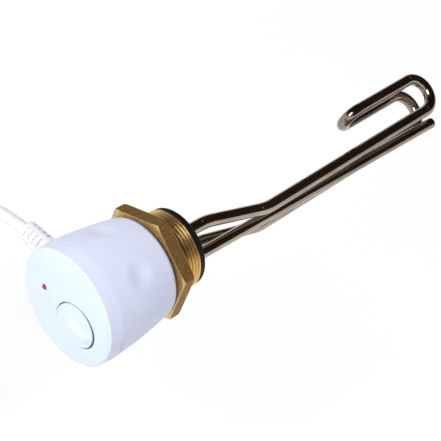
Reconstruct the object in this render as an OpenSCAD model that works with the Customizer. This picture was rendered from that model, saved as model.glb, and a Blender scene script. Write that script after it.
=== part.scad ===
// Screw plug immersion heater: a brass G1 1/2 plug that carries a folded tubular element and a
// thermowell into a tank, with a round plastic head for the thermostat outside the tank.
// The axis of the thread is X. The tank side is +X, the head is on -X and the cord leaves along +Y.
// The origin lies on the axis, on the face of the hexagon that seals against the tank.

/* [Screw plug] */
// Outside diameter of the pipe thread
thread_d = 47.8; // [44:0.1:54]
// Length of the thread
thread_l = 14; // [10:0.5:24]
// Width of the hexagon across its flats
hex_af = 60.5; // [58.5:0.5:70]
// Thickness of the hexagon
hex_t = 8; // [6:0.5:14]
// Turn of the hexagon about the axis, from a corner pointing up
hex_turn = 6.5; // [0:0.1:30]
// Radial size of the turned chamfers on the corners of the hexagon
hex_chamfer = 2.2; // [0.6:0.1:3]
// Thickness of the plug wall that carries the tubes
plug_wall = 10.4; // [7:0.2:14]
// Land between the pocket on the head side of the plug and the holes of the housing screws
pocket_land = 1.7; // [1.2:0.1:2.4]
// Width of the rubber ring on the nose of the plug
ring_w = 4.4; // [3:0.2:7]
// Section height of the rubber ring
ring_h = 4.6; // [3:0.1:5]

/* [Heating element] */
// Diameter of the heating tube
tube_d = 7.6; // [6.5:0.1:8.4]
// Reach of the element beyond the sealing face
element_reach = 257.3; // [200:0.1:400]
// Length of the two inner runs, from the first fold to the hairpin
inner_run = 71.5; // [40:0.5:110]
// Start of the offset bend, from the sealing face
offset_start = 42; // [34:1:60]
// Length of the offset bend
offset_run = 43; // [36:1:60]
// Centre radius of the offset bends
offset_bend_r = 40; // [30:1:60]
// Radial gap of the brazed joints
braze_gap = 0.1; // [0.05:0.01:0.2]

/* [Thermowell] */
// Outside diameter of the thermowell
well_d = 7.2; // [6.6:0.1:7.6]
// Wall of the thermowell
well_wall = 0.5; // [0.4:0.05:0.8]
// Reach of the thermowell beyond the sealing face
well_reach = 250; // [150:1:380]
// Length of the sensor bulb
bulb_l = 60; // [30:1:100]
// Diameter of the capillary tube
capillary_d = 1.6; // [1:0.1:2.4]

/* [Head] */
// How far the head stands out beyond the flats of the hexagon at its seam
seam_over = 4.95; // [4.7:0.05:7]
// How far it stands out beyond the flats at its back
back_over = 0.35; // [0.1:0.05:3.5]
// How far it stands out beyond the flats at its front rim
rim_over = 4.45; // [1.5:0.05:4.7]
// Swell of the housing between its back and its seam
belly = 0.7; // [0.1:0.1:1.2]
// Depth of the groove along the seam
seam_groove = 0.3; // [0.2:0.05:0.8]
// Length of the housing, from its back to the seam
housing_l = 44.4; // [40:0.1:60]
// Length of the cover, from the seam to the rim
cover_l = 9.3; // [9:0.1:16]
// Height of the crown of the front face
face_crown = 3.3; // [1.5:0.1:5]
// Wall of the housing and the cover
wall = 2.2; // [1.6:0.1:3]
// Thickness of the back wall of the housing
back_wall = 2.5; // [2:0.1:4]
// Radius of the back edge of the housing
back_round = 5; // [1.5:0.1:6]
// Radius of the front rim
rim_round = 1.4; // [1:0.1:3]
// Length of the lip that plugs the cover into the housing
lip_l = 4; // [2:0.2:6]
// Thickness of the gasket behind the housing
gasket_t = 0.5; // [0.4:0.1:2]
// Diameter of a finger dimple in the side of the housing
dimple_d = 17.5; // [8:0.5:18]
// Distance of the finger dimples from the back of the housing
dimple_back = 24.3; // [18:0.1:28]
// Depth of a finger dimple
dimple_depth = 1.3; // [0.6:0.1:1.5]
// Clearance of parts that plug or drop into each other
fit_gap = 0.2; // [0.1:0.05:0.4]

/* [Thermostat and knob] */
// Diameter of the knob
knob_d = 27; // [26.5:0.5:29]
// Distance of the knob axis from the head axis, away from the cord
knob_offset = 10.9; // [10:0.1:14]
// Turn of the knob axis about the head axis, from the plane of the cord
knob_angle = 8.5; // [0:0.5:20]
// Height of the knob above the crowned face
knob_rise = 0.6; // [0.2:0.1:1.2]
// Gap around the knob
knob_gap = 0.6; // [0.4:0.1:1]
// Depth of the knob well below the rim of the face
knob_well_depth = 6.2; // [5.5:0.1:8]
// Length of the grip bar on the knob
grip_l = 19; // [14:0.5:20]
// Width of the grip bar
grip_w = 6.4; // [4:0.2:8]
// Height of the grip bar
grip_h = 1.6; // [1:0.1:2.4]
// Distance of the grip bar from the centre of the knob, towards its pointing end
grip_shift = 3; // [0:0.1:3.2]
// Turn of the grip bar at rest
grip_turn = 6; // [0:1:30]
// Diameter of the thermostat spindle
spindle_d = 6; // [5:0.1:7]
// Width of the thermostat along the cord direction
thermostat_w = 26; // [24:0.5:30]
// Height of the thermostat
thermostat_h = 30; // [27:0.5:34]
// Depth of the thermostat behind the knob well
thermostat_t = 18; // [14:0.5:22]

/* [Indicator] */
// Diameter of the red lens
lens_d = 3.4; // [3:0.1:6]
// Distance of the lens from the head axis, towards the cord
lens_offset = 16; // [14:0.1:22]
// Turn of the lens about the head axis, from the plane of the cord
lens_angle = 15; // [0:0.5:20]
// Length of the lamp behind the lens
lamp_l = 12; // [8:0.5:16]

/* [Cord] */
// Diameter of the cord
cord_d = 7; // [5.8:0.1:7.5]
// Distance of the cord outlet behind the seam
outlet_inset = 9.3; // [7.8:0.1:12]
// Outside diameter of the strain relief at the housing
boot_d = 13.6; // [11.4:0.1:14]
// Outside diameter of the strain relief at its tip
boot_tip_d = 11.2; // [9:0.1:13]
// Reach of the strain relief from the head axis
boot_reach = 56.5; // [52:0.5:70]
// Number of rows of flex slots in the strain relief
boot_rows = 4; // [3:1:5]
// Width of a flex slot
slot_w = 1.2; // [0.8:0.1:1.6]
// Diameter of the plug at its front
plug_d = 38; // [34:0.5:42]
// Length of the plug body
plug_l = 46; // [40:1:60]
// Diameter of a plug pin
pin_d = 4.8; // [4:0.1:5]
// Spacing of the plug pins
pin_pitch = 19; // [18:0.1:20]
// Length of a plug pin
pin_l = 19; // [17:0.5:20]

/* [Hidden] */
$fn = 96;

// Runs of the heating tube as [y, z]: at the plug, along the tank, and the pair of inner runs
leg_a_plug = [1.5, 5.2];
leg_b_plug = [1.5, -11.8];
leg_a = [-8.1, 0.3];
leg_b = [-6.1, -17.1];
inner_a = [12.1, 11.3];
inner_b = [16.4, -4.5];
// Drift of the bundle at the folds and of the thermowell at its tip, from a slight lean of each
lean = [3, 1.8];
well_lean = [-1.8, -1.2];
well_at = [-7.5, -7.9];
earth_at = [12, -1];

pocket_floor = thread_l + ring_w - plug_wall;
nose_end = thread_l + ring_w;
ring_drop = 0.3;
nose_d = thread_d - 2 * ring_drop - 2 * ring_h;
ring_chamfer = 1.2;
chamfer_angle = 30;
// Overshoot of cutting solids
past = 1;
offset_end = offset_start + offset_run;
fold_x = element_reach - tube_d / 2;
hairpin_x = fold_x - inner_run;
second_fold_back = 2.6;
cold_end = 6;
cold_end_x = pocket_floor - cold_end;
// Share of a U-fold that its two quarter bends fill
fold_fill = 0.985;
bend_swell = 0.1;
bend_lap = 0.5;
insulator_l = 4;
insulator_step = 1.5;
insulator_in = 1;
terminal_pin_d = 2.6;
terminal_pin_l = 8;
tab_w = 6.3;
tab_t = 0.8;
tab_l = 8;
well_mouth = 3;
well_mouth_x = pocket_floor - well_mouth;
well_tip_round = 1.2;
well_tip_t = 1;
bulb_room = 1.4;
bulb_end_x = well_reach - bulb_room;

seam_d = hex_af + 2 * seam_over;
back_d = hex_af + 2 * back_over;
rim_d = hex_af + 2 * rim_over;
gasket_x = -hex_t;
housing_x = gasket_x - gasket_t;
seam_x = housing_x - housing_l;
rim_x = seam_x - cover_l;
crown_x = rim_x - face_crown;
face_r = (pow(rim_d / 2, 2) + pow(face_crown, 2)) / (2 * face_crown);
inner_d = seam_d - 2 * wall;
lip_root = 2.5;
dome_fn = 720;
side_steps = 8;
knob_well_wall = 1.5;
pry_angles = [65, 185, 305];
pry_span = 16;
pry_depth = 0.8;
pry_w = 1;

well_floor_x = rim_x + knob_well_depth;
well_floor_t = 2;
thermostat_x = well_floor_x + well_floor_t;
knob_well_d = knob_d + 2 * knob_gap;
knob_clear = 0.5;
knob_base_x = well_floor_x - knob_clear;
knob_wall = 1.8;
knob_roof = 2.4;
knob_roof_x = face_x(knob_offset) + knob_roof;
hub_roof = 3;
hub_floor_x = face_x(knob_offset) + hub_roof;
hub_wall = 2.5;
hub_d = spindle_d + 2 * hub_wall;
// Radius of the round of the grip bar, which is sunk into the knob, and of its ends
grip_r = (pow(grip_w / 2, 2) + pow(grip_h, 2)) / (2 * grip_h);
grip_end = grip_r / 2;
spindle_flat = 1.2;
spindle_flat_l = 5;
spindle_sunk = 5.5;
spindle_room = 1;
// Radial gap of the turning spindle in the thermostat, and of the knob on the spindle
running_gap = 0.05;
tab_pitch = 18;
lens_flange = 0.8;
lens_flange_t = 1.2;
lens_rise = 1.2;
lens_edge = 0.1;
lens_sunk = 2.6;
lens_sit_x = face_x(lens_offset) + lens_sunk;
lamp_wall = 2.5;

screw_d = 4;
screw_l = 6;
screw_room = 0.6;
screw_head_d = 7;
screw_head_t = 2.2;
floor_in = back_round - sqrt(pow(back_round, 2) - pow(max(0, back_round - back_wall), 2));
housing_screw_r = back_d / 2 - wall - floor_in - screw_head_d / 2 - screw_room;
pocket_d = 2 * (housing_screw_r - screw_d / 2 - pocket_land);
housing_screw_angles = [30, 150, 270];
gasket_land = 1;
gasket_r = housing_screw_r + screw_d / 2 + fit_gap + gasket_land;
small_screw_d = 3;
small_head_d = 5.4;
small_head_t = 1.6;
small_screw_l = 6;
head_clear = 0.4;
// The thermostat's screw heads turn inside the hollow of the knob
thermostat_pitch = knob_d - 2 * knob_wall - small_head_d - 2 * head_clear;
slot_share = 0.7;
slot_t = 0.8;

outlet_x = -seam_x - outlet_inset;
flange_t = 2;
flange_over = 1.5;
flange_d = boot_d + 2 * flange_over;
seat_inset = 4;
seat_y = inner_d / 2 - seat_inset;
boss_wall = 1;
tip_round = 1.5;
slot_pitch = 3.6;
slot_start = 4.2;
slot_span = 64;
slots_per_row = 4;
slot_core = 1.1;
anchor_l = 4;
anchor_wall = 1.5;
anchor_head = [4, 5];
cord_gap = 0.1;
cord_sides = 12;
dimple_angles = [66, 126, 186, 246, 306];

// Route of the free cord as [y, z]: it sags as it leaves the head, runs free, and bends down to the coil
cord_start = 17;
cord_sag = 14;
cord_free = 12;
cord_bend_r = 4 * cord_d;
cord_step = (90 - cord_sag) / 6;
free_from = [boot_reach, 0] + cord_arc(cord_sag);
free_to = free_from + cord_free * [cos(cord_sag), -sin(cord_sag)];
drop_y = free_to.x + cord_bend_r * (1 - sin(cord_sag));
cord_route = concat([[cord_start, 0], [boot_reach, 0], [boot_reach, 0] + cord_arc(cord_sag / 2), free_from],
    [for (a = [cord_sag : cord_step : 90]) free_to + cord_arc(a) - cord_arc(cord_sag)],
    [[drop_y, -54], [drop_y, -80]]);
tail_route = [[drop_y, -84], [drop_y, -105], [drop_y, -125]];
tail_x = -outlet_x - 2 * cord_d;
coil_layers = 2;
coil_r = 36;
coil_at = [-outlet_x, drop_y + coil_r + cord_d / 2, -90];
coil_lanes = 3;
tie_w = 8;
tie_t = 1.2;
tie_room = 0.5;
plug_top = on_run(tail_x, tail_route[2]);
neck_l = 20;
neck_wall = 1.5;
neck_flare = 2;
plug_flange_t = 4;
plug_step = 1;
shoulder_in = 5;
shoulder_rise = 4;
shoulder_l = 13;
pin_sunk = 8;
pin_step = 0.4;
pin_root_d = pin_d - 2 * pin_step;
contact_w = 5;
contact_l = 17;
contact_t = 0.5;
contact_groove = [4, 6];

function unit(v) = v / norm(v);
function side_of(v) = unit(cross(v, abs(v.z) < 0.9 ? [0, 0, 1] : [0, 1, 0]));
function bend_angle(a, b) = acos(max(-1, min(1, a * b)));
function drift(x) = lean * (x - offset_end) / (fold_x - offset_end);
// Place along the side of the housing, and its radius there, by a share of the way to the seam
function side_at(t) = back_round + (housing_l - seam_groove - back_round) * t;
function housing_r(t) = (back_d + (seam_d - back_d) * t) / 2 + 4 * belly * t * (1 - t);
function screw_at(a) = housing_screw_r * [cos(a), sin(a)];
// Where the crowned face lies at a distance from the axis
function face_x(at) = crown_x + face_r - sqrt(face_r * face_r - at * at);
// Shift along a bend of the cord from its level start
function cord_arc(a) = cord_bend_r * [sin(a), cos(a) - 1];
function on_run(x, run) = [x, run.x, run.y];
function leaning(x, run) = on_run(x, run + drift(x));
function well_line(x) = on_run(x, well_at + well_lean * x / well_reach);

// Places children with their Z axis along a direction
module aim(origin, direction) {
    z = unit(direction);
    x = side_of(z);
    y = cross(z, x);
    multmatrix([[x.x, y.x, z.x, origin.x], [x.y, y.y, z.y, origin.y], [x.z, y.z, z.z, origin.z]])
        children();
}

module rod(from, to, d) {
    aim(from, to - from) cylinder(d = d, h = norm(to - from));
}

// One bend of a tube: it arrives along u and leaves along v
module bend(corner, u, v, r, d) {
    half = bend_angle(u, v) / 2;
    centre = corner + unit(v - u) * r / cos(half);
    x = unit(corner - u * r * tan(half) - centre);
    z = cross(x, u);
    multmatrix([[x.x, u.x, z.x, centre.x], [x.y, u.y, z.y, centre.y], [x.z, u.z, z.z, centre.z]])
        rotate_extrude(angle = 2 * half)
            translate([r, 0]) circle(d = d);
}

// A round rod bent along corner points, with a bend radius at each inner corner.
// A straight runs a little way into the bends at its ends, and a bend is slightly thicker.
module bent_rod(points, radii, d) {
    last = len(points) - 1;
    dirs = [for (i = [0 : last - 1]) unit(points[i + 1] - points[i])];
    cut = [for (i = [0 : last])
        i == 0 || i == last ? 0 : radii[i] * tan(bend_angle(dirs[i - 1], dirs[i]) / 2) - bend_lap];
    for (i = [0 : last - 1])
        rod(points[i] + dirs[i] * cut[i], points[i + 1] - dirs[i] * cut[i + 1], d);
    for (i = [1 : last - 1])
        bend(points[i], dirs[i - 1], dirs[i], radii[i], d + bend_swell);
}

// A plain swept tube through route points, with flat ends
module swept_tube(route, d, sides) {
    last = len(route) - 1;
    dirs = [for (i = [0 : last]) unit(route[min(i + 1, last)] - route[max(i - 1, 0)])];
    rings = [for (i = [0 : last]) let (n = unit(cross(dirs[i], [1, 0, 0])), b = cross(dirs[i], n))
        for (k = [0 : sides - 1]) route[i] + (n * cos(360 * k / sides) + b * sin(360 * k / sides)) * d / 2];
    walls = [for (i = [0 : last - 1]) for (k = [0 : sides - 1]) let (m = (k + 1) % sides)
        [i * sides + m, i * sides + k, (i + 1) * sides + k, (i + 1) * sides + m]];
    start = [for (k = [0 : sides - 1]) k];
    end = [for (k = [sides - 1 : -1 : 0]) last * sides + k];
    polyhedron(points = rings, faces = concat([start], walls, [end]));
}

// Turns a profile drawn as [radius, distance along +X] about the axis
module turned(x) {
    translate([x, 0, 0]) rotate([0, 90, 0]) rotate_extrude() children();
}

// The same towards the head, so distance runs along -X
module turned_head(x) {
    translate([x, 0, 0]) rotate([0, -90, 0]) rotate_extrude() children();
}

// A round bar along +X from x, centred on [y, z]
module bar_x(x, at, d, l) {
    translate([x, at.x, at.y]) rotate([0, 90, 0]) cylinder(d = d, h = l);
}

module screw(x, at, d, l, head_d, head_t) {
    bar_x(x, at, d, l);
    difference() {
        bar_x(x - head_t, at, head_d, head_t);
        translate([x - head_t, at.x, at.y])
            cube([head_t, head_d * slot_share, slot_t], center = true);
    }
}

// Places children drawn about the head axis on the axis of the knob, or of the lens
module at_knob() {
    rotate([knob_angle, 0, 0]) translate([0, -knob_offset, 0]) children();
}

module at_lens() {
    rotate([lens_angle, 0, 0]) translate([0, lens_offset, 0]) children();
}

module hexagon() {
    corner_r = hex_af / sqrt(3);
    start_r = corner_r - hex_chamfer;
    end_r = corner_r + past;
    rise = (end_r - start_r) * tan(chamfer_angle);
    intersection() {
        rotate([hex_turn, 0, 0]) translate([-hex_t, 0, 0]) rotate([0, 90, 0])
            cylinder(r = corner_r, h = hex_t, $fn = 6);
        turned(-hex_t)
            polygon([[0, 0], [start_r, 0], [end_r, rise], [end_r, hex_t - rise], [start_r, hex_t],
                [0, hex_t]]);
    }
}

module screw_plug() color("goldenrod") difference() {
    union() {
        hexagon();
        bar_x(0, [0, 0], thread_d, thread_l);
        bar_x(0, [0, 0], nose_d, nose_end);
    }
    bar_x(-hex_t - past, [0, 0], pocket_d, hex_t + past + pocket_floor);
    for (at = [leg_a_plug, leg_b_plug])
        bar_x(pocket_floor - past, at, tube_d + 2 * braze_gap, plug_wall + 2 * past);
    rod(well_line(pocket_floor - past), well_line(nose_end + past), well_d + 2 * braze_gap);
    for (a = housing_screw_angles)
        bar_x(-hex_t - past, screw_at(a), screw_d + fit_gap, screw_l + screw_room + past);
    bar_x(pocket_floor - past, earth_at, screw_d + fit_gap, screw_l + screw_room + past);
}

module thread_ring() color("#1c1c1e")
    turned(thread_l) difference() {
        translate([nose_d / 2 + fit_gap / 2, 0]) square([ring_h - fit_gap / 2, ring_w]);
        translate([nose_d / 2 + ring_h, ring_w]) rotate(45)
            square(ring_chamfer, center = true);
    }

module heating_element() color("#4a403a") {
    fold_a = norm(leg_a - inner_a) / 2 * fold_fill;
    hairpin = norm(inner_a - inner_b) / 2 * fold_fill;
    fold_b = norm(leg_b - inner_b) / 2 * fold_fill;
    back_x = fold_x - second_fold_back;
    bent_rod([on_run(cold_end_x, leg_a_plug), on_run(offset_start, leg_a_plug), on_run(offset_end, leg_a),
              leaning(fold_x, leg_a), leaning(fold_x, inner_a),
              leaning(hairpin_x, inner_a), leaning(hairpin_x, inner_b),
              leaning(back_x, inner_b), leaning(back_x, leg_b),
              on_run(offset_end, leg_b), on_run(offset_start, leg_b_plug), on_run(cold_end_x, leg_b_plug)],
             [0, offset_bend_r, offset_bend_r, fold_a, fold_a, hairpin, hairpin, fold_b, fold_b,
              offset_bend_r, offset_bend_r, 0], tube_d);
}

module thermowell() color("#5a524c") {
    l = well_reach - well_mouth_x;
    corner = [well_d / 2 - well_tip_round, l - well_tip_round];
    aim(well_line(well_mouth_x), well_line(1) - well_line(0)) rotate_extrude() difference() {
        union() {
            square([well_d / 2, corner.y]);
            square([corner.x, l]);
            translate(corner) circle(well_tip_round);
        }
        translate([0, -past]) square([well_d / 2 - well_wall, l - well_tip_t + past]);
    }
}

module sensor_bulb() color("#b87333") {
    bulb_d = well_d - 2 * well_wall - 2 * fit_gap;
    rod(well_line(bulb_end_x - bulb_l), well_line(bulb_end_x), bulb_d);
    rod(well_line(thermostat_x + thermostat_t), well_line(bulb_end_x - bulb_l / 2), capillary_d);
}

module element_insulators() color("#e9e4d8")
    for (at = [leg_a_plug, leg_b_plug]) difference() {
        union() {
            bar_x(cold_end_x - insulator_l, at, tube_d, insulator_l);
            bar_x(cold_end_x - insulator_l - insulator_step, at, tube_d - 2 * insulator_in, insulator_step);
        }
        bar_x(cold_end_x - 2 * insulator_l, at, terminal_pin_d + fit_gap, 3 * insulator_l);
    }

module element_terminals() color("#b8b8b4")
    for (at = [leg_a_plug, leg_b_plug]) {
        tab_x = cold_end_x - terminal_pin_l;
        bar_x(tab_x, at, terminal_pin_d, terminal_pin_l);
        translate([tab_x - tab_l, at.x - tab_w / 2, at.y - tab_t / 2]) cube([tab_l, tab_w, tab_t]);
    }

module earth_screw() color("#c9c9c4")
    screw(pocket_floor, earth_at, screw_d, screw_l, screw_head_d, screw_head_t);

// Outline of the housing from its back to the seam, set in by a distance
module housing_profile(inset) {
    back_r = back_d / 2 - inset;
    seam_r = seam_d / 2 - inset;
    corner = [back_r - back_round, back_round];
    polygon(concat([[0, 0], [corner.x, 0], corner],
        [for (i = [0 : side_steps]) let (t = i / side_steps) [housing_r(t) - inset, side_at(t)]],
        [[seam_r - seam_groove, housing_l], [0, housing_l]]));
    intersection() {
        translate(corner) circle(back_round);
        translate([corner.x - past, 0]) square(back_round + past);
    }
}

module dimple(a) {
    dish_r = (pow(dimple_d / 2, 2) + pow(dimple_depth, 2)) / (2 * dimple_depth);
    wall_r = housing_r(dimple_back / housing_l);
    rotate([a, 0, 0]) translate([housing_x - dimple_back, wall_r + dish_r - dimple_depth, 0])
        sphere(dish_r);
}

module housing() color("#e4e6f2") difference() {
    union() {
        difference() {
            turned_head(housing_x) housing_profile(0);
            turned_head(housing_x) intersection() {
                housing_profile(wall);
                translate([0, back_wall]) square([seam_d, housing_l]);
            }
            turned_head(seam_x) translate([0, -lip_l - fit_gap]) square([inner_d / 2, lip_l + past]);
        }
        intersection() {
            turned_head(housing_x) housing_profile(wall / 2);
            translate([-outlet_x, seat_y, 0]) rotate([-90, 0, 0])
                cylinder(d = flange_d + 2 * boss_wall, h = seam_d);
        }
    }
    turned_head(housing_x) translate([0, -past]) square([pocket_d / 2, back_wall + 2 * past]);
    for (a = housing_screw_angles)
        bar_x(housing_x - back_wall - past, screw_at(a), screw_d + 2 * fit_gap, back_wall + 2 * past);
    translate([-outlet_x, 0, 0]) rotate([-90, 0, 0]) cylinder(d = boot_d + 2 * fit_gap, h = seam_d);
    for (a = dimple_angles) dimple(a);
}

module housing_gasket() color("#2a2724") difference() {
    turned_head(gasket_x)
        translate([pocket_d / 2, 0]) square([gasket_r - pocket_d / 2, gasket_t]);
    for (a = housing_screw_angles)
        bar_x(housing_x - past, screw_at(a), screw_d + 2 * fit_gap, gasket_t + 2 * past);
}

module housing_screws() color("#c4c4c0")
    for (a = housing_screw_angles)
        screw(housing_x - back_wall, screw_at(a), screw_d, back_wall + gasket_t + screw_l,
              screw_head_d, screw_head_t);

// Half section of the space under the crowned face, raised by a distance
module under_face(raise) {
    intersection() {
        translate([0, cover_l + face_crown - face_r]) circle(face_r + raise, $fn = dome_fn);
        square([seam_d / 2, cover_l + face_crown + raise]);
    }
}

// Outer outline of the cover from the seam to the crown, set in by a distance
module cover_profile(inset) {
    rim_r = rim_d / 2 - inset;
    seam_r = seam_d / 2 - inset;
    corner = [rim_r - rim_round, cover_l - rim_round];
    intersection() {
        under_face(-inset);
        union() {
            polygon([[0, 0], [seam_r - seam_groove, 0], [seam_r, seam_groove],
                [rim_r, corner.y], [0, corner.y]]);
            translate(corner) circle(rim_round);
            square([corner.x, cover_l + face_crown]);
        }
    }
}

// A shallow slot along the seam, to pry the cover off
module pry_slot(a) {
    rotate([a, 0, 0]) translate([seam_x, 0, 0]) rotate([0, -90, 0]) rotate(90 - pry_span / 2)
        rotate_extrude(angle = pry_span)
            translate([seam_d / 2 - pry_depth, -past]) square([pry_depth + past, pry_w + past]);
}

module front_cover() color("#e2eef6") {
    lip_r = inner_d / 2 - fit_gap;
    notch_w = flange_d + 2 * boss_wall + 2 * fit_gap;
    difference() {
        union() {
            turned_head(seam_x) difference() {
                cover_profile(0);
                cover_profile(wall);
            }
            turned_head(seam_x) intersection() {
                cover_profile(wall / 2);
                translate([lip_r - wall, 0]) square([seam_d, lip_root]);
            }
            difference() {
                turned_head(seam_x + lip_l)
                    translate([lip_r - wall, 0]) square([wall, lip_l + lip_root]);
                translate([seam_x, 0, -notch_w / 2]) cube([lip_l + past, seam_d, notch_w]);
            }
            intersection() {
                turned_head(seam_x) cover_profile(wall / 2);
                at_knob()
                    bar_x(crown_x, [0, 0], knob_well_d + 2 * knob_well_wall, thermostat_x - crown_x);
            }
            intersection() {
                turned_head(seam_x) cover_profile(wall / 2);
                at_lens() bar_x(crown_x, [0, 0], lens_d + 2 * lamp_wall, lamp_l + wall);
            }
        }
        for (a = pry_angles) pry_slot(a);
        at_knob() {
            bar_x(crown_x - past, [0, 0], knob_well_d, well_floor_x - crown_x + past);
            bar_x(crown_x, [0, 0], spindle_d + 2 * spindle_room, seam_d);
            for (s = [-1, 1])
                bar_x(crown_x, [0, s * thermostat_pitch / 2], small_screw_d + fit_gap, seam_d);
        }
        at_lens() {
            bar_x(crown_x - past, [0, 0], lens_d + fit_gap, seam_d);
            bar_x(lens_sit_x, [0, 0], lens_d + 2 * lens_flange + fit_gap, seam_d);
        }
    }
}

module thermostat_body() color("#d8d3c4") at_knob() difference() {
    translate([thermostat_x, -thermostat_w / 2, -thermostat_h / 2])
        cube([thermostat_t, thermostat_w, thermostat_h]);
    for (s = [-1, 1])
        bar_x(thermostat_x - past, [0, s * thermostat_pitch / 2], small_screw_d + fit_gap,
              small_screw_l + screw_room + past);
    bar_x(thermostat_x - past, [0, 0], spindle_d + 2 * running_gap, spindle_sunk + screw_room + past);
}

module thermostat_screws() color("#c4c4c0") at_knob()
    for (s = [-1, 1])
        screw(well_floor_x, [0, s * thermostat_pitch / 2], small_screw_d, well_floor_t + small_screw_l,
              small_head_d, small_head_t);

module thermostat_tabs() color("#b8b8b4") at_knob()
    for (s = [-1, 1])
        translate([thermostat_x + thermostat_t, -tab_w / 2, (s * tab_pitch - tab_t) / 2])
            cube([tab_l, tab_w, tab_t]);

module spindle() color("#b9bcc0") at_knob() difference() {
    tip_x = hub_floor_x + fit_gap;
    bar_x(tip_x, [0, 0], spindle_d, thermostat_x + spindle_sunk - tip_x);
    translate([hub_floor_x, spindle_d / 2 - spindle_flat, -spindle_d])
        cube([spindle_flat_l, spindle_d, 2 * spindle_d]);
}

// The round grip bar, along +Y from its middle
module grip_bar() {
    translate([0, -grip_l / 2, 0]) rotate([-90, 0, 0]) rotate_extrude() {
        translate([0, grip_end]) square([grip_r, grip_l - 2 * grip_end]);
        square([grip_r - grip_end, grip_l]);
        for (y = [grip_end, grip_l - grip_end])
            translate([grip_r - grip_end, y]) circle(grip_end);
    }
}

module knob() color("#e6eef6") difference() {
    union() {
        intersection() {
            turned_head(seam_x) under_face(knob_rise);
            at_knob() bar_x(crown_x - 2 * past, [0, 0], knob_d, knob_base_x - crown_x + 2 * past);
        }
        at_knob() rotate([grip_turn, 0, 0])
            translate([face_x(knob_offset) - knob_rise - grip_h + grip_r, -grip_shift, 0]) grip_bar();
    }
    at_knob() {
        difference() {
            bar_x(knob_roof_x, [0, 0], knob_d - 2 * knob_wall, knob_well_depth + face_crown);
            bar_x(crown_x, [0, 0], hub_d, knob_well_depth + face_crown);
        }
        difference() {
            bar_x(hub_floor_x, [0, 0], spindle_d + 2 * running_gap, knob_well_depth + face_crown);
            translate([hub_floor_x - past, spindle_d / 2 - spindle_flat + running_gap, -spindle_d])
                cube([spindle_flat_l + past - fit_gap, spindle_d, 2 * spindle_d]);
        }
    }
}

module indicator_lens() color("#b0182a") at_lens() {
    dome_base = lens_d / 2 - lens_edge;
    dome_r = (pow(dome_base, 2) + pow(lens_rise, 2)) / (2 * lens_rise);
    body_l = lens_sunk + lens_flange_t;
    turned_head(lens_sit_x + lens_flange_t) {
        square([lens_d / 2 + lens_flange, lens_flange_t]);
        square([lens_d / 2, body_l]);
        intersection() {
            translate([0, body_l + lens_rise - dome_r]) circle(dome_r);
            translate([0, body_l - lens_edge]) square([lens_d, lens_rise + lens_edge]);
        }
    }
}

module indicator_lamp() color("#d9b48a") at_lens()
    bar_x(lens_sit_x + lens_flange_t, [0, 0], lens_d + 2 * lens_flange - fit_gap, lamp_l);

module cord_boot() color("#f2f2f0") {
    body_l = boot_reach - seat_y;
    corner = [boot_tip_d / 2 - tip_round, body_l - tip_round];
    translate([-outlet_x, seat_y, 0]) rotate([-90, 0, 0]) difference() {
        union() {
            translate([0, 0, -flange_t]) cylinder(d = flange_d, h = flange_t);
            rotate_extrude() {
                polygon([[0, 0], [boot_d / 2, 0], [boot_d / 2, seam_d / 2 - seat_y],
                    [boot_tip_d / 2, corner.y], [0, corner.y]]);
                square([corner.x, body_l]);
                translate(corner) circle(tip_round);
            }
        }
        translate([0, 0, -flange_t - past])
            cylinder(d = cord_d + 2 * cord_gap, h = body_l + flange_t + 2 * past);
        for (row = [0 : boot_rows - 1])
            for (k = [0 : slots_per_row - 1])
                translate([0, 0, body_l - slot_start - row * slot_pitch])
                    rotate((k + 0.5) * 360 / slots_per_row - slot_span / 2)
                        rotate_extrude(angle = slot_span)
                            translate([cord_d / 2 + slot_core, -slot_w / 2]) square([boot_d, slot_w]);
    }
}

module cord_anchor() color("#e8e8e4")
    translate([-outlet_x, seat_y - flange_t, 0]) rotate([90, 0, 0]) difference() {
        union() {
            cylinder(d = cord_d + 2 * anchor_wall, h = anchor_l);
            translate([cord_d / 2, -anchor_head.y / 2, 0]) cube([anchor_head.x, anchor_head.y, anchor_l]);
        }
        translate([0, 0, -past]) cylinder(d = cord_d + 2 * cord_gap, h = anchor_l + 2 * past);
    }

module cord_lead() color("#f4f4f2")
    swept_tube([for (p = cord_route) on_run(-outlet_x, p)], cord_d, cord_sides);

module cord_coil() color("#f4f4f2")
    translate(coil_at) rotate([0, 90, 0]) rotate_extrude()
        translate([coil_r, 0]) square([coil_layers * cord_d, coil_lanes * cord_d], center = true);

module coil_tie() color("#2b2b2d")
    translate(coil_at + [0, coil_r, 0]) difference() {
        inner = [coil_lanes * cord_d + 2 * cord_gap, coil_layers * cord_d + 2 * tie_room, tie_w + 2 * past];
        cube([inner.x + 2 * tie_t, inner.y + 2 * tie_t, tie_w], center = true);
        cube(inner, center = true);
    }

module plug_tail() color("#f4f4f2")
    swept_tube([for (p = tail_route) on_run(tail_x, p)], cord_d, cord_sides);

module plug_body() color("#f0f0ee") translate(plug_top) rotate([180, 0, 0]) difference() {
    neck_r = cord_d / 2 + neck_wall;
    waist_r = plug_d / 2 - plug_step;
    rotate_extrude()
        polygon([[0, 0], [neck_r, 0], [neck_r + neck_flare, neck_l],
            [waist_r - shoulder_in, neck_l + shoulder_rise], [waist_r, neck_l + shoulder_l],
            [waist_r, plug_l - plug_flange_t], [plug_d / 2, plug_l - plug_flange_t],
            [plug_d / 2, plug_l], [0, plug_l]]);
    for (s = [-1, 1]) {
        translate([0, s * pin_pitch / 2, plug_l - pin_sunk])
            cylinder(d = pin_root_d + 2 * running_gap, h = pin_sunk + past);
        translate([s * plug_d / 2, 0, plug_l])
            cube([contact_groove.x, contact_groove.y, 2 * contact_l], center = true);
    }
}

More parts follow.
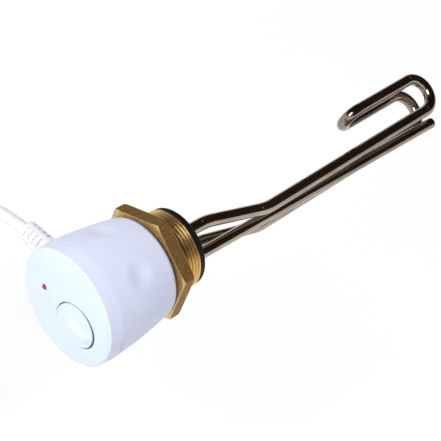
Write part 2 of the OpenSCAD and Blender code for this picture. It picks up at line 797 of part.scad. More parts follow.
module plug_pins() color("#c8c8c6") translate(plug_top) rotate([180, 0, 0])
    for (s = [-1, 1]) translate([0, s * pin_pitch / 2, plug_l]) {
        translate([0, 0, -pin_sunk]) cylinder(d = pin_root_d, h = 2 * pin_sunk);
        cylinder(d = pin_d, h = pin_l - pin_d / 2);
        translate([0, 0, pin_l - pin_d / 2]) sphere(d = pin_d);
    }

module earth_contacts() color("#c9b26a") translate(plug_top) rotate([180, 0, 0])
    for (s = [-1, 1])
        translate([s * (plug_d - contact_groove.x + contact_t) / 2, 0, plug_l - contact_l / 2])
            cube([contact_t, contact_w, contact_l], center = true);

screw_plug();
thread_ring();
heating_element();
thermowell();
sensor_bulb();
element_insulators();
element_terminals();
earth_screw();
housing();
housing_gasket();
housing_screws();
front_cover();
thermostat_body();
thermostat_screws();
thermostat_tabs();
spindle();
knob();
indicator_lens();
indicator_lamp();
cord_boot();
cord_anchor();
cord_lead();
cord_coil();
coil_tie();
plug_tail();
plug_body();
plug_pins();
earth_contacts();
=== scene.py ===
import math

import bmesh
import bpy
from mathutils import Matrix, Vector


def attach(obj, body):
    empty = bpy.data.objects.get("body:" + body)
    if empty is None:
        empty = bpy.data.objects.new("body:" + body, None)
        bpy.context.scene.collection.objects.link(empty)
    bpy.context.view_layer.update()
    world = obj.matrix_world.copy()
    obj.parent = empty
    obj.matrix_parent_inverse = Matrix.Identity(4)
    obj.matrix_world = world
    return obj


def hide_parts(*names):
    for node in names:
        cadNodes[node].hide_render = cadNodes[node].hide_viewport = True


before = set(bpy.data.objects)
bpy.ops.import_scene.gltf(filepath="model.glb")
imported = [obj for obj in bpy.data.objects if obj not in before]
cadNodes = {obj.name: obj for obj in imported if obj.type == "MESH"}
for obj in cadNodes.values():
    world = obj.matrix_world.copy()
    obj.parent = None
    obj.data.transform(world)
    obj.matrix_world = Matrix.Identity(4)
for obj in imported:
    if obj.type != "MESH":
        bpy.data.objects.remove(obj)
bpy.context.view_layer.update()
mm = 0.001
print("frame loaded with", len(cadNodes), "nodes")


# shader maths: one wrapped socket, with nodes made by add()

class Sock:
    def __init__(self, tree, socket=None):
        self.tree = tree
        self.socket = socket

    def add(self, kind, settings=None, sockets=None, out=0):
        node = self.tree.nodes.new(kind)
        for name, value in (settings or {}).items():
            setattr(node, name, value)
        for key, value in (sockets or {}).items():
            if isinstance(value, Sock):
                self.tree.links.new(value.socket, node.inputs[key])
            else:
                node.inputs[key].default_value = value
        return Sock(self.tree, node.outputs[out])

    def output(self, name):  # another output of the same node
        return Sock(self.tree, self.socket.node.outputs[name])

    def maths(self, operation, first, second):
        return self.add("ShaderNodeMath", {"operation": operation}, {0: first, 1: second})

    def __add__(self, other):
        return self.maths("ADD", self, other)

    def __radd__(self, other):
        return self.maths("ADD", other, self)

    def __sub__(self, other):
        return self.maths("SUBTRACT", self, other)

    def __rsub__(self, other):
        return self.maths("SUBTRACT", other, self)

    def __mul__(self, other):
        return self.maths("MULTIPLY", self, other)

    def __rmul__(self, other):
        return self.maths("MULTIPLY", other, self)

    def between(self, low, high):  # 0 below low, 1 above high
        return self.add("ShaderNodeMapRange", {"interpolation_type": "SMOOTHSTEP"},
                        {"Value": self, "From Min": low, "From Max": high})

    def mixed(self, first, second):  # colour mix by this value; 6, 7 and out 2 are the colour sockets
        return self.add("ShaderNodeMix", {"data_type": "RGBA"}, {0: self, 6: first, 7: second}, out=2)


def newMaterial(name):
    material = bpy.data.materials.new(name)
    material.use_nodes = True
    tree = material.node_tree
    return material, Sock(tree), tree.nodes["Principled BSDF"]


def join(value, socket):
    value.tree.links.new(value.socket, socket)


def partCoords(start):  # the part's own coordinates, in metres
    return start.add("ShaderNodeTexCoord", out="Object")


def alongX(start, place):  # y and z are the other outputs of its node
    return start.add("ShaderNodeSeparateXYZ", None, {"Vector": place}, out="X")


def noise(start, place, scale, detail=2, rough=0.5):
    return start.add("ShaderNodeTexNoise", None,
                     {"Vector": place, "Scale": scale, "Detail": detail, "Roughness": rough})


def rgb(red, green, blue):  # screen colour, 0 to 255, to linear
    def linear(c):
        c /= 255
        return c / 12.92 if c <= 0.04045 else ((c + 0.055) / 1.055) ** 2.4
    return (linear(red), linear(green), linear(blue), 1)


# what every finish shares; a look can give its own shine
noiseMiddle = 0.5
bumpDepth = 0.1 * mm
plasticSurface = {"cloud": (0.35, 0.65), "shine": 0.4,
                  "roughSpread": 0.06, "roughScale": 900, "roughDetail": 1}
metalSurface = {"tint": (0.3, 0.7), "tintDetail": 4, "grainDetail": 3, "noiseRough": 0.6}
glassSurface = {"cloud": (0.3, 0.7)}


def addBump(start, shader, height, strength):
    bump = start.add("ShaderNodeBump", None,
                     {"Strength": strength, "Distance": bumpDepth, "Height": height})
    join(bump, shader.inputs["Normal"])


def plasticMaterial(look):
    material, start, shader = newMaterial(look["name"])
    place = partCoords(start)
    cloud = noise(start, place, look["cloudScale"]).between(*plasticSurface["cloud"])
    colour = cloud.mixed(look["pale"], look["deep"])
    if "front" in look:  # another tint in front of a plane across the axis
        front = look["front"]
        ahead = 1 - alongX(start, place).between(front["x"] - front["soft"], front["x"] + front["soft"])
        colour = ahead.mixed(colour, cloud.mixed(front["pale"], front["deep"]))
    join(colour, shader.inputs["Base Color"])
    fine = noise(start, place, plasticSurface["roughScale"], plasticSurface["roughDetail"])
    join(look["rough"] + plasticSurface["roughSpread"] * (fine - noiseMiddle), shader.inputs["Roughness"])
    addBump(start, shader, noise(start, place, look["grainScale"]), look["grain"])
    shader.inputs["Specular IOR Level"].default_value = look.get("shine", plasticSurface["shine"])
    return material


def metalMaterial(look):
    material, start, shader = newMaterial(look["name"])
    place = partCoords(start)
    stain = noise(start, place, look["tintScale"], metalSurface["tintDetail"], metalSurface["noiseRough"])
    tint = stain.between(*metalSurface["tint"])
    colour = tint.mixed(look["pale"], look["deep"])
    if "farTone" in look:  # darker towards the far end
        farTone = look["farTone"]
        farShare = alongX(start, place).between(farTone["from"], farTone["to"])
        colour = farShare.mixed(colour, tint.mixed(farTone["pale"], farTone["deep"]))
    join(colour, shader.inputs["Base Color"])
    fine = noise(start, place, look["grainScale"], metalSurface["grainDetail"], metalSurface["noiseRough"])
    join(look["rough"] + look["roughSpread"] * (fine - noiseMiddle), shader.inputs["Roughness"])
    addBump(start, shader, fine, look["grain"])
    shader.inputs["Metallic"].default_value = 1
    return material


def glassMaterial(look):
    material, start, shader = newMaterial(look["name"])
    cloud = noise(start, partCoords(start), look["cloudScale"]).between(*glassSurface["cloud"])
    join(cloud.mixed(look["pale"], look["deep"]), shader.inputs["Base Color"])
    shader.inputs["Roughness"].default_value = look["rough"]
    shader.inputs["Coat Weight"].default_value = look["coat"]
    return material


# white plastics of the head; the face and the knob are a little bluer than the sides
headTint = {"pale": rgb(236, 240, 255), "deep": rgb(233, 237, 255)}
faceTint = {"pale": rgb(228, 241, 252), "deep": rgb(225, 238, 250)}
gapShadeTint = {"pale": rgb(142, 148, 160), "deep": rgb(128, 134, 146)}  # painted shade down in the gap of the knob
mouldGrain = {"cloudScale": 30, "grain": 0.06, "grainScale": 1600}
housingPlastic = plasticMaterial({"name": "housingPlastic", "rough": 0.42, **headTint, **mouldGrain})
coverPlastic = plasticMaterial({
    "name": "coverPlastic", "rough": 0.4, **headTint, **mouldGrain,
    "front": {"x": -62.1 * mm, "soft": 0.35 * mm, **faceTint}})
# the knob's sides below the face carry painted shade for the gap; in front of the face they take the face
# tint
knobPlastic = plasticMaterial({
    "name": "knobPlastic", "rough": 0.36, **gapShadeTint, **mouldGrain,
    "front": {"x": -64.5 * mm, "soft": 0.2 * mm, **faceTint}})

# other plastics, ceramic and rubber
cordPlastic = plasticMaterial({
    "name": "cordPlastic", "pale": rgb(250, 249, 247), "deep": rgb(244, 244, 243), "cloudScale": 60,
    "rough": 0.45, "grain": 0.1, "grainScale": 900})
innerPlastic = plasticMaterial({
    "name": "innerPlastic", "pale": rgb(206, 200, 182), "deep": rgb(190, 184, 166), "cloudScale": 80,
    "rough": 0.55, "grain": 0.3, "grainScale": 900})
ceramic = plasticMaterial({
    "name": "ceramic", "pale": rgb(236, 230, 214), "deep": rgb(222, 214, 196), "cloudScale": 200,
    "rough": 0.6, "grain": 0.4, "grainScale": 1200})
blackRubber = plasticMaterial({
    "name": "blackRubber", "pale": rgb(24, 24, 25), "deep": rgb(15, 15, 16), "cloudScale": 120,
    "rough": 0.6, "grain": 0.3, "grainScale": 800, "shine": 0.2})

# brass as turned, as drawn on the flats of the hexagon, and as cut in the thread; the drawn flats are
# rougher, and their darker colour is painted shade
brassTurned = metalMaterial({
    "name": "brassTurned", "pale": rgb(230, 200, 142), "deep": rgb(212, 180, 122), "tintScale": 500,
    "rough": 0.38, "roughSpread": 0.15, "grain": 0.25, "grainScale": 1400})
brassDrawnShaded = metalMaterial({
    "name": "brassDrawnShaded", "pale": rgb(206, 168, 106), "deep": rgb(150, 118, 70), "tintScale": 1100,
    "rough": 0.8, "roughSpread": 0.3, "grain": 0.6, "grainScale": 1400})
brassThread = metalMaterial({
    "name": "brassThread", "pale": rgb(228, 194, 128), "deep": rgb(210, 174, 110), "tintScale": 200,
    "rough": 0.31, "roughSpread": 0.06, "grain": 0.03, "grainScale": 900})

# the tubes, and the small metal inside the head
elementSheath = metalMaterial({
    "name": "elementSheath", "pale": rgb(184, 174, 161), "deep": rgb(164, 152, 139), "tintScale": 60,
    "rough": 0.17, "roughSpread": 0.06, "grain": 0.015, "grainScale": 300,
    "farTone": {"from": 40 * mm, "to": 190 * mm, "pale": rgb(160, 149, 138), "deep": rgb(140, 128, 116)}})
platedSteel = metalMaterial({
    "name": "platedSteel", "pale": rgb(206, 206, 202), "deep": rgb(186, 186, 182), "tintScale": 200,
    "rough": 0.25, "roughSpread": 0.1, "grain": 0.2, "grainScale": 900})
copperTube = metalMaterial({
    "name": "copperTube", "pale": rgb(206, 140, 104), "deep": rgb(186, 118, 84), "tintScale": 200,
    "rough": 0.3, "roughSpread": 0.1, "grain": 0.2, "grainScale": 900})

# the indicator
redLens = glassMaterial({
    "name": "redLens", "pale": rgb(196, 24, 36), "deep": rgb(160, 10, 24), "cloudScale": 700,
    "rough": 0.12, "coat": 0.5})
lampGlass = glassMaterial({
    "name": "lampGlass", "pale": rgb(232, 196, 160), "deep": rgb(214, 170, 130), "cloudScale": 300,
    "rough": 0.08, "coat": 0})
print("materials made")


# the CAD nodes that are shown as they are, by finish
nodeFinish = {
    "thread_ring": blackRubber, "heating_element": elementSheath, "thermowell": elementSheath,
    "sensor_bulb": copperTube, "element_insulators": ceramic, "element_terminals": platedSteel,
    "earth_screw": platedSteel, "housing_gasket": blackRubber, "housing_screws": platedSteel,
    "front_cover": coverPlastic, "thermostat_body": innerPlastic, "thermostat_screws": platedSteel,
    "thermostat_tabs": platedSteel, "spindle": platedSteel, "indicator_lens": redLens,
    "indicator_lamp": lampGlass, "cord_boot": cordPlastic, "cord_anchor": innerPlastic,
    "coil_tie": blackRubber, "plug_body": cordPlastic, "plug_pins": platedSteel,
    "earth_contacts": brassThread,
}
for nodeName, finish in nodeFinish.items():
    node = cadNodes[nodeName]
    node.data.materials.clear()
    node.data.materials.append(finish)


def newObject(name, data):
    made = bpy.data.objects.new(name, data)
    bpy.context.collection.objects.link(made)
    return made


def smoothShade(mesh, smoothDeg):
    mesh.shade_smooth()
    mesh.set_sharp_from_angle(angle=math.radians(smoothDeg))


def meshPiece(name, verts, faces, material, body, smoothDeg):
    mesh = bpy.data.meshes.new(name)
    mesh.from_pydata(verts, [], faces)
    mesh.materials.append(material)
    smoothShade(mesh, smoothDeg)
    piece = newObject(name, mesh)
    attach(piece, body)
    return piece


def ease(t):  # 0 up to t = 0, 1 from t = 1, smooth between
    return 0.5 - 0.5 * math.cos(math.pi * min(1, max(0, t)))


def onCircle(x, radius, angle):  # a point around the main axis
    return (x, radius * math.cos(angle), radius * math.sin(angle))


def ringFaces(first, rings, around, closed):  # quads between rings of points; closed joins last to first
    faces = []
    for i in range(rings if closed else rings - 1):
        here = first + i * around
        after = first + (i + 1) % rings * around
        for k in range(around):
            m = (k + 1) % around
            faces.append((here + k, here + m, after + m, after + k))
    return faces


def booleanWith(piece, mesh, operation):  # the exact result becomes the mesh of the piece
    other = newObject("other", mesh)
    step = piece.modifiers.new("step", "BOOLEAN")
    step.operation = operation
    step.solver = "EXACT"
    step.object = other
    graph = bpy.context.evaluated_depsgraph_get()
    piece.data = bpy.data.meshes.new_from_object(piece.evaluated_get(graph))
    piece.modifiers.remove(step)
    bpy.data.objects.remove(other)


def roundBar(radius, start, end, sides, turn):  # a bar along its own Z from start to end, then turned
    build = bmesh.new()
    bmesh.ops.create_cone(build, cap_ends=True, segments=sides,
                          radius1=radius, radius2=radius, depth=end - start)
    bmesh.ops.translate(build, vec=(0, 0, (start + end) / 2), verts=build.verts)
    bmesh.ops.rotate(build, cent=(0, 0, 0), matrix=turn, verts=build.verts)
    mesh = bpy.data.meshes.new("bar")
    build.to_mesh(mesh)
    build.free()
    return mesh


# screw plug: the core of the CAD plug, a hexagon with broken edges, and a sleeve with the thread ridges
thread = {"outerR": 23.9 * mm, "rootR": 22.7 * mm, "sleeveR": 22 * mm, "length": 14 * mm,
          "pitch": 2.309 * mm, "runOut": 1.2 * mm, "flankGain": 1.2, "crestFlat": 0.1,
          "around": 180, "perPitch": 20, "sameDigits": 4, "smooth": 75}
plugCore = {"from": -10 * mm, "to": 30 * mm}  # past both ends of the plug


def plugBody():
    piece = newObject("plugBody", cadNodes["screw_plug"].data.copy())
    lyingX = Matrix.Rotation(math.pi / 2, 3, "Y")
    core = roundBar(thread["rootR"], plugCore["from"], plugCore["to"], thread["around"], lyingX)
    booleanWith(piece, core, "INTERSECT")
    piece.data.materials.clear()
    piece.data.materials.append(brassTurned)
    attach(piece, "heater")
    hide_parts("screw_plug")


hexHead = {"flatR": 29.7 * mm, "halfFlat": 30, "turn": 6.2, "shift": (0.15 * mm, 0.45 * mm),
           "frontX": -8 * mm, "backX": 0.0, "boreR": 22.6 * mm,
           "frontCut": 1.5 * mm, "backCut": 1.9 * mm, "cutAngle": 30,
           "brokenEdge": 0.4 * mm, "edgeBend": 0.3, "brokenCorner": 0.12 * mm,
           "steps": (4, 9, 14, 18, 21, 23, 25, 27, 28.5, 29.6),  # degrees each way from a flat's middle
           "flatTilt": 0.1, "flatDepth": 2 * mm, "smooth": 20}


def hexProfile(step):  # x and radius around the ring's section, step degrees from a flat's middle
    corner = hexHead["flatR"] / math.cos(math.radians(hexHead["halfFlat"]))
    radius = min(hexHead["flatR"] / math.cos(math.radians(step)), corner - hexHead["brokenCorner"])
    slope = math.tan(math.radians(hexHead["cutAngle"]))
    edge = hexHead["brokenEdge"]
    bend = hexHead["edgeBend"] * edge

    def halfProfile(x, inward, cut):  # from the bore to the flat, on the front or the back
        endR = min(radius, corner - cut)
        return [(x, hexHead["boreR"]), (x, endR - edge), (x + inward * bend, endR - bend),
                (x + inward * max(edge, (radius - endR) * slope), radius)]

    front = halfProfile(hexHead["frontX"], 1, hexHead["frontCut"])
    back = halfProfile(hexHead["backX"], -1, hexHead["backCut"])
    return front + back[::-1]


def hexRing():
    oneSide = hexHead["steps"]
    steps = [-hexHead["halfFlat"], *(-step for step in reversed(oneSide)), 0, *oneSide]
    shiftY, shiftZ = hexHead["shift"]
    verts = []
    for flat in range(6):
        for step in steps:
            angle = math.radians(hexHead["turn"] + 2 * hexHead["halfFlat"] * flat + step)
            for x, radius in hexProfile(step):
                verts.append((x, radius * math.cos(angle) + shiftY, radius * math.sin(angle) + shiftZ))
    faces = ringFaces(0, 6 * len(steps), len(hexProfile(0)), True)
    piece = meshPiece("plugHexagon", verts, faces, brassTurned, "heater", hexHead["smooth"])
    # the second material, on the outer flats, is the drawn brass: rougher, and darker with painted shade
    piece.data.materials.append(brassDrawnShaded)
    for polygon in piece.data.polygons:
        level = abs(polygon.normal.x) < hexHead["flatTilt"]
        if level and polygon.center.yz.length > hexHead["flatR"] - hexHead["flatDepth"]:
            polygon.material_index = 1


def threadRadius(row, x):  # rows follow the helix, so the depth belongs to the row
    fromCrest = abs(2 * (row / thread["perPitch"] % 1) - 1)
    depth = ease(fromCrest * thread["flankGain"] - thread["crestFlat"])
    ends = min(1, x / thread["runOut"], (thread["length"] - x) / thread["runOut"])
    return thread["outerR"] - depth * ends * (thread["outerR"] - thread["rootR"])


def threadSleeve():
    around, perPitch, length = thread["around"], thread["perPitch"], thread["length"]
    last = math.ceil(length / thread["pitch"] * perPitch) + perPitch
    verts, faces, known = [], [], {}

    def vertex(x, radius, k):  # points cut off at the same end are one point
        key = (round(x / mm, thread["sameDigits"]), round(radius / mm, thread["sameDigits"]), k)
        if key not in known:
            known[key] = len(verts)
            verts.append(onCircle(x, radius, math.tau * k / around))
        return known[key]

    def onHelix(row, k):
        row, k = min(row + perPitch * (k // around), last), k % around
        x = min(length, max(0, thread["pitch"] * (row / perPitch + k / around - 1)))
        return vertex(x, threadRadius(row, x), k)

    def addFace(*corners):
        loop = list(dict.fromkeys(corners))
        if len(loop) > 2:
            faces.append(loop)

    for k in range(around):
        m = k + 1
        for row in range(last):
            addFace(onHelix(row, k), onHelix(row, m), onHelix(row + 1, m), onHelix(row + 1, k))
        start = [vertex(0, thread["sleeveR"], n % around) for n in (k, m)]
        end = [vertex(length, thread["sleeveR"], n % around) for n in (k, m)]
        addFace(start[0], start[1], vertex(0, thread["outerR"], m % around), vertex(0, thread["outerR"], k))
        addFace(end[1], end[0], vertex(length, thread["outerR"], k),
                vertex(length, thread["outerR"], m % around))
        addFace(start[1], start[0], end[0], end[1])
    meshPiece("threadRidges", verts, faces, brassThread, "heater", thread["smooth"])


plugBody()
hexRing()
threadSleeve()
print("screw plug made")


# housing: the moulded cup with soft finger dimples, cut open where the cord boot goes in
shell = {"backX": -8.5 * mm, "seamX": -52.9 * mm, "backR": 30.6 * mm, "seamR": 35.2 * mm,
         "round": 5 * mm, "belly": 0.7 * mm, "wall": 2.2 * mm, "backWall": 2.5 * mm,
         "mouthR": 19.93 * mm, "groove": 0.06 * mm, "lipX": -48.7 * mm, "lipR": 33 * mm,
         "lipStep": 0.5 * mm, "around": 288, "rows": 72, "roundSteps": 8, "smooth": 28}
dimple = {"x": -32.8 * mm, "angles": (66, 126, 186, 246, 306), "depth": 1.3 * mm, "reach": 10 * mm}
gland = {"x": -43.6 * mm, "holeR": 7 * mm, "from": 20 * mm, "to": 45 * mm, "sides": 64}


def dimpleDepth(x, angle, radius):
    deepest = 0
    for middle in dimple["angles"]:
        turn = (math.degrees(angle) - middle + 180) % 360 - 180
        apart = math.hypot(x - dimple["x"], radius * math.radians(turn)) / dimple["reach"]
        deepest = max(deepest, dimple["depth"] * ease(1 - apart))
    return deepest


def shellRings():  # x and radius along the outside, then back along the inside
    outside = [(shell["backX"], shell["mouthR"])]
    for i in range(shell["roundSteps"] + 1):
        angle = math.pi / 2 * i / shell["roundSteps"]
        outside.append((shell["backX"] - shell["round"] * (1 - math.cos(angle)),
                        shell["backR"] - shell["round"] * (1 - math.sin(angle))))
    startX = outside[-1][0]
    endX = shell["seamX"] + shell["groove"]
    for i in range(1, shell["rows"] + 1):
        t = i / shell["rows"]
        swell = shell["belly"] * 4 * t * (1 - t)  # its most, belly, in the middle
        taper = shell["backR"] + (shell["seamR"] - shell["backR"]) * t
        outside.append((startX + (endX - startX) * t, taper + swell))
    outside.append((shell["seamX"], shell["seamR"] - shell["groove"]))
    innerX = shell["backX"] - shell["backWall"]
    inside = [(shell["seamX"], shell["lipR"]), (shell["lipX"], shell["lipR"]),
              (shell["lipX"], shell["lipR"] - shell["lipStep"]),
              (innerX, shell["backR"] - shell["wall"]), (innerX, shell["mouthR"])]
    return outside, inside


def housingShell():
    outside, inside = shellRings()
    rings = outside + inside
    verts = []
    for i, (x, radius) in enumerate(rings):
        dimpled = 0 < i < len(outside)
        for k in range(shell["around"]):
            angle = math.tau * k / shell["around"]
            depth = dimpleDepth(x, angle, radius) if dimpled else 0
            verts.append(onCircle(x, radius - depth, angle))
    faces = ringFaces(0, len(rings), shell["around"], True)
    piece = meshPiece("housingShell", verts, faces, housingPlastic, "heater", shell["smooth"])
    lyingY = Matrix.Rotation(-math.pi / 2, 3, "X")
    hole = roundBar(gland["holeR"], gland["from"], gland["to"], gland["sides"], lyingY)
    hole.transform(Matrix.Translation((gland["x"], 0, 0)))
    booleanWith(piece, hole, "DIFFERENCE")
    smoothShade(piece.data, shell["smooth"])
    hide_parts("housing")


housingShell()
print("housing made")


# scale marks: low soft mounds on the crowned face, around the knob
face = {"crownX": -65.5 * mm, "crownR": 184.1 * mm, "knobY": -10.78 * mm, "knobZ": -1.61 * mm}
scaleMark = {"angles": (18, 58, 97, 141), "fromKnob": 19.4 * mm, "half": (2.7 * mm, 2.1 * mm),
             "rise": 0.5 * mm, "sunk": 0.15 * mm, "blend": 1.5, "rings": 9, "around": 28, "smooth": 60}


def faceX(y, z):
    return face["crownX"] + face["crownR"] - math.sqrt(face["crownR"] ** 2 - y * y - z * z)


def markPoints(middle, out):  # rings from the top of a mound down to its foot under the face
    side = Vector((-out.y, out.x))
    halfOut, halfSide = scaleMark["half"]
    height = scaleMark["rise"] + scaleMark["sunk"]
    points = []
    for i in range(scaleMark["rings"]):
        t = (i + 1) / scaleMark["rings"]
        rise = height * (1 - t * t) ** scaleMark["blend"] - scaleMark["sunk"]
        for k in range(scaleMark["around"]):
            angle = math.tau * k / scaleMark["around"]
            place = middle + out * halfOut * t * math.cos(angle) + side * halfSide * t * math.sin(angle)
            points.append((faceX(*place) - rise, place.x, place.y))
    return points


def scaleMarks():
    verts, faces = [], []
    rings, around = scaleMark["rings"], scaleMark["around"]
    knob = Vector((face["knobY"], face["knobZ"]))
    for degrees in scaleMark["angles"]:
        out = Vector((math.cos(math.radians(degrees)), math.sin(math.radians(degrees))))
        first = len(verts)
        foot = first + (rings - 1) * around
        verts += markPoints(knob + out * scaleMark["fromKnob"], out)
        faces.append([first + k for k in reversed(range(around))])
        faces += ringFaces(first, rings, around, False)
        faces.append([foot + k for k in range(around)])
    meshPiece("scaleMarks", verts, faces, coverPlastic, "heater", scaleMark["smooth"])


scaleMarks()
print("scale marks made")


# knob: a hollow cap under the same crown, with a soft grip ridge
knobCap = {"radius": 13.3 * mm, "rise": 0.6 * mm, "edge": 0.3 * mm, "edgeSteps": 4, "baseX": -56.5 * mm,
           "innerR": 11.7 * mm, "roofX": -62.78 * mm, "rings": 44, "around": 128, "smooth": 50}
ridge = {"turn": 11, "shift": 3 * mm, "half": (9.8 * mm, 5.2 * mm), "rise": 2.2 * mm, "blend": 2.5,
         "endSoft": 4 * mm}


def ridgeRise(y, z):
    along = Vector((math.cos(math.radians(ridge["turn"])), math.sin(math.radians(ridge["turn"]))))
    place = Vector((y - face["knobY"], z - face["knobZ"])) + along * ridge["shift"]
    halfLong, halfWide = ridge["half"]
    u = place.dot(along)
    w = (place.y * along.x - place.x * along.y) / halfWide
    if abs(w) >= 1:
        return 0
    return ridge["rise"] * (1 - w * w) ** ridge["blend"] * ease((halfLong - abs(u)) / ridge["endSoft"])


def aroundKnob(radius, angle):
    return face["knobY"] + radius * math.cos(angle), face["knobZ"] + radius * math.sin(angle)


def knobTop(radius, y, z):
    inside = max(0, radius - knobCap["radius"] + knobCap["edge"])
    drop = knobCap["edge"] - math.sqrt(max(0, knobCap["edge"] ** 2 - inside ** 2))
    return faceX(y, z) - knobCap["rise"] - ridgeRise(y, z) + drop


def softKnob():
    around, edgeSteps = knobCap["around"], knobCap["edgeSteps"]
    flat = knobCap["radius"] - knobCap["edge"]
    radii = [flat * (i + 1) / knobCap["rings"] for i in range(knobCap["rings"])]
    radii += [flat + knobCap["edge"] * math.sin(math.pi / 2 * (i + 1) / edgeSteps) for i in range(edgeSteps)]
    rings = [(radius, None) for radius in radii]  # None is on the top
    rings += [(knobCap["radius"], knobCap["baseX"]), (knobCap["innerR"], knobCap["baseX"]),
              (knobCap["innerR"], knobCap["roofX"])]
    middle = aroundKnob(0, 0)
    verts = [(knobTop(0, *middle), *middle)]
    for radius, x in rings:
        for k in range(around):
            place = aroundKnob(radius, math.tau * k / around)
            verts.append((knobTop(radius, *place) if x is None else x, *place))
    faces = [(0, 1 + (k + 1) % around, 1 + k) for k in range(around)]
    faces += ringFaces(1, len(rings), around, False)
    roof = 1 + (len(rings) - 1) * around
    faces.append([roof + k for k in range(around)])
    piece = meshPiece("softKnob", verts, faces, knobPlastic, "knob", knobCap["smooth"])
    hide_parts("knob")


softKnob()
print("knob made")


# the cord: out of the boot, over a bend and down as in the solid model, then six turns and the tail
cord = {"diameter": 7 * mm, "length": 1.5, "outletX": gland["x"], "startY": 36 * mm, "exitY": 56.5 * mm,
        "sag": 14, "sagFrom": 50 * mm, "free": 18.7 * mm, "bendR": 28 * mm, "bendSteps": 8,
        "dropZ": (-41 * mm, -54 * mm, -67 * mm, -80 * mm), "runSteps": 2,
        "coilY": 135.64 * mm, "coilZ": -90 * mm, "coilR": 36 * mm, "stepsPerTurn": 48,
        "shift": 110, "stagger": 12, "lastShift": 245,
        "tailZ": (-100 * mm, -112 * mm, -125 * mm), "tailSteps": 3, "roundness": 6}
coilSlots = [(0, 1), (1, 1), (1, 0), (0, 0), (-1, 0), (-1, 1), (-2, 1)]  # lane, layer


def smoothRun(points, steps):  # a smooth line through the points
    line = []
    for i in range(len(points) - 1):
        p0, p1 = points[max(i - 1, 0)], points[i]
        p2, p3 = points[i + 1], points[min(i + 2, len(points) - 1)]
        for s in range(steps):
            t = s / steps
            line.append(0.5 * ((2 * p1) + (p2 - p0) * t + (2 * p0 - 5 * p1 + 4 * p2 - p3) * t * t
                               + (3 * p1 - p0 - 3 * p2 + p3) * t ** 3))
    return line + [points[-1]]


def coilPoint(turn, degrees):
    begin = cord["lastShift"] - cord["stagger"] * turn
    moved = ease((degrees - begin) / cord["shift"])
    (laneA, layerA), (laneB, layerB) = coilSlots[turn], coilSlots[turn + 1]
    lane = laneA + (laneB - laneA) * moved
    layer = layerA + (layerB - layerA) * moved
    radius = cord["coilR"] + (layer - 0.5) * cord["diameter"]  # the two layers lie each side of coilR
    angle = math.radians(degrees)
    return Vector((cord["outletX"] + lane * cord["diameter"],
                   cord["coilY"] - radius * math.cos(angle),
                   cord["coilZ"] - radius * math.sin(angle)))


def cordLine():
    x, sag = cord["outletX"], math.radians(cord["sag"])

    def bent(angle):  # shift along a bend from its level start
        return Vector((0, math.sin(angle), math.cos(angle) - 1)) * cord["bendR"]

    slope = Vector((0, math.cos(sag), -math.sin(sag)))
    sagStart = Vector((x, cord["sagFrom"], 0))
    sagEnd = sagStart + bent(sag)
    bendStart = sagEnd + slope * cord["free"]
    free = [Vector((x, cord["startY"], 0)), Vector((x, (cord["startY"] + cord["sagFrom"]) / 2, 0)),
            sagStart, sagStart + bent(sag / 2), sagEnd, sagEnd + slope * cord["free"] / 2]
    for i in range(cord["bendSteps"] + 1):
        angle = sag + (math.pi / 2 - sag) * i / cord["bendSteps"]
        free.append(bendStart + bent(angle) - bent(sag))
    dropY = free[-1].y
    free += [Vector((x, dropY, z)) for z in cord["dropZ"]]
    line = smoothRun(free + [coilPoint(0, 0)], cord["runSteps"])
    steps = cord["stepsPerTurn"]
    for turn in range(len(coilSlots) - 1):
        line += [coilPoint(turn, 360 * s / steps) for s in range(1, steps + 1)]
    return line + smoothRun([Vector((line[-1].x, dropY, z)) for z in cord["tailZ"]], cord["tailSteps"])


def mainsCord():
    curve = bpy.data.curves.new("mainsCord", "CURVE")
    curve.dimensions = "3D"
    curve.bevel_depth = cord["diameter"] / 2
    curve.bevel_resolution = cord["roundness"]
    curve.use_fill_caps = True
    line = cordLine()
    spline = curve.splines.new("POLY")
    spline.points.add(len(line) - 1)
    for point, place in zip(spline.points, line):
        point.co = (*place, 1)
    spline.use_smooth = True
    curve.materials.append(cordPlastic)
    piece = newObject("mainsCord", curve)
    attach(piece, "heater")
    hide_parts("cord_lead", "cord_coil", "plug_tail")


mainsCord()
print("cord made")


# stage, in metres: pale floor, white surround, dark flag overhead for the metal, one soft key lamp
white = (1, 1, 1, 1)


def whiteForCamera(start):  # 1 for rays from the camera, in reflections and through glass
    path = start.add("ShaderNodeLightPath", out="Is Camera Ray")
    shiny = start.maths("MAXIMUM", path, path.output("Is Glossy Ray"))
    return start.maths("MAXIMUM", shiny, path.output("Is Transmission Ray"))


def toSurface(value, material):
    join(value, material.node_tree.nodes["Material Output"].inputs["Surface"])


floorLook = {"z": -0.24, "half": 6, "pale": rgb(244, 244, 244), "deep": rgb(240, 240, 240),
             "cloudScale": 4, "cloud": (0.3, 0.7), "rough": 0.9,
             "glow": 1.08, "glowShare": 0.8}  # the rest of the floor keeps the shadow


def paleFloor():
    half, z = floorLook["half"], floorLook["z"]
    corners = [(-half, -half, z), (half, -half, z), (half, half, z), (-half, half, z)]
    mesh = bpy.data.meshes.new("floor")
    mesh.from_pydata(corners, [], [(0, 1, 2, 3)])
    floor = newObject("floor", mesh)
    material, start, shader = newMaterial("paleFloor")
    cloud = noise(start, partCoords(start), floorLook["cloudScale"]).between(*floorLook["cloud"])
    join(cloud.mixed(floorLook["pale"], floorLook["deep"]), shader.inputs["Base Color"])
    shader.inputs["Roughness"].default_value = floorLook["rough"]
    share = whiteForCamera(start) * floorLook["glowShare"]
    glow = start.add("ShaderNodeEmission", None, {"Color": white, "Strength": floorLook["glow"]})
    plain = Sock(start.tree, shader.outputs["BSDF"])
    toSurface(start.add("ShaderNodeMixShader", None, {0: share, 1: plain, 2: glow}), material)
    mesh.materials.append(material)


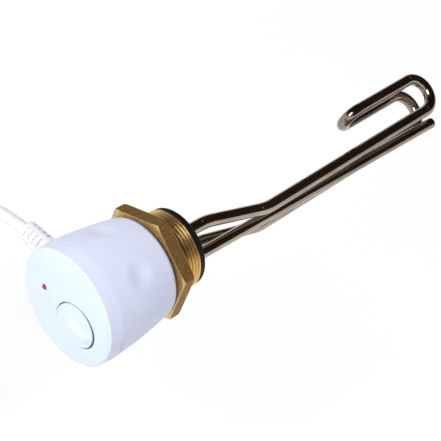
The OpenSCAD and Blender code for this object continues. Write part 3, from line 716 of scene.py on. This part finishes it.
flagLook = {"radius": 4.5, "from": 1, "segments": 48, "rows": 24,
            "dark": (0.016, 0.010, 0.007, 1), "warm": (0.06, 0.035, 0.026, 1),
            "cloudScale": 1.2, "cloud": (0.35, 0.7),
            "card": (0.9, 0.9, 0.9, 1), "cardX": (-2.2, -1.4), "cardZ": (1.4, 2.2)}  # pale and low in front


def overheadFlag():  # only reflections see it
    mesh = bpy.data.meshes.new("overheadFlag")
    build = bmesh.new()
    bmesh.ops.create_uvsphere(build, u_segments=flagLook["segments"], v_segments=flagLook["rows"],
                              radius=flagLook["radius"])
    lowest = flagLook["radius"] * math.sin(math.radians(flagLook["from"]))
    bmesh.ops.delete(build, geom=[v for v in build.verts if v.co.z < lowest], context="VERTS")
    build.to_mesh(mesh)
    build.free()
    flag = newObject("overheadFlag", mesh)
    material, start, shader = newMaterial("darkFlag")
    material.node_tree.nodes.remove(shader)
    place = partCoords(start)
    cloud = noise(start, place, flagLook["cloudScale"]).between(*flagLook["cloud"])
    across = alongX(start, place)
    card = (1 - across.between(*flagLook["cardX"])) * (1 - across.output("Z").between(*flagLook["cardZ"]))
    colour = card.mixed(cloud.mixed(flagLook["dark"], flagLook["warm"]), flagLook["card"])
    toSurface(start.add("ShaderNodeEmission", None, {"Color": colour, "Strength": 1}), material)
    mesh.materials.append(material)
    flag.visible_camera = False
    flag.visible_diffuse = False
    flag.visible_shadow = False
    flag.visible_transmission = False


surroundLook = {"fill": 0.474, "tint": (0.95, 0.97, 1.09, 1)}


def whiteSurround():
    world = bpy.data.worlds.new("surround")
    bpy.context.scene.world = world
    world.use_nodes = True
    back = world.node_tree.nodes["Background"]
    seen = whiteForCamera(Sock(world.node_tree))
    fill = surroundLook["fill"]
    join(seen.mixed(surroundLook["tint"], white), back.inputs["Color"])
    join(seen * (1 - fill) + fill, back.inputs["Strength"])


keyLamp = {"at": (-1.36, -0.12, 1.46), "size": 1, "watts": 29, "tint": (0.96, 0.965, 1)}


def softLamp():
    light = bpy.data.lights.new("keyLamp", "AREA")
    light.size = keyLamp["size"]
    light.energy = keyLamp["watts"]
    light.color = keyLamp["tint"]
    holder = newObject("keyLamp", light)
    holder.location = keyLamp["at"]
    holder.rotation_euler = (-Vector(keyLamp["at"])).to_track_quat("-Z", "Y").to_euler()


camera = {"at": (-397.25, -300.77, 526.21), "right": (0.69753, -0.68639, 0.20571),  # at is in mm
          "up": (0.39602, 0.60852, 0.68766), "back": (-0.59718, -0.3982, 0.69628),
          "focalPixels": 1308, "imagePixels": 441, "sensor": 36, "clip": (0.01, 50)}


def photoCamera():
    data = bpy.data.cameras.new("photoCamera")
    data.sensor_width = camera["sensor"]
    data.lens = camera["focalPixels"] * camera["sensor"] / camera["imagePixels"]
    data.clip_start, data.clip_end = camera["clip"]
    holder = newObject("photoCamera", data)
    turn = Matrix((camera["right"], camera["up"], camera["back"])).transposed()
    holder.matrix_world = Matrix.Translation(Vector(camera["at"]) * mm) @ turn.to_4x4()
    bpy.context.scene.camera = holder


paleFloor()
overheadFlag()
whiteSurround()
softLamp()
photoCamera()
bpy.context.scene.view_settings.view_transform = "Standard"
print("stage made")
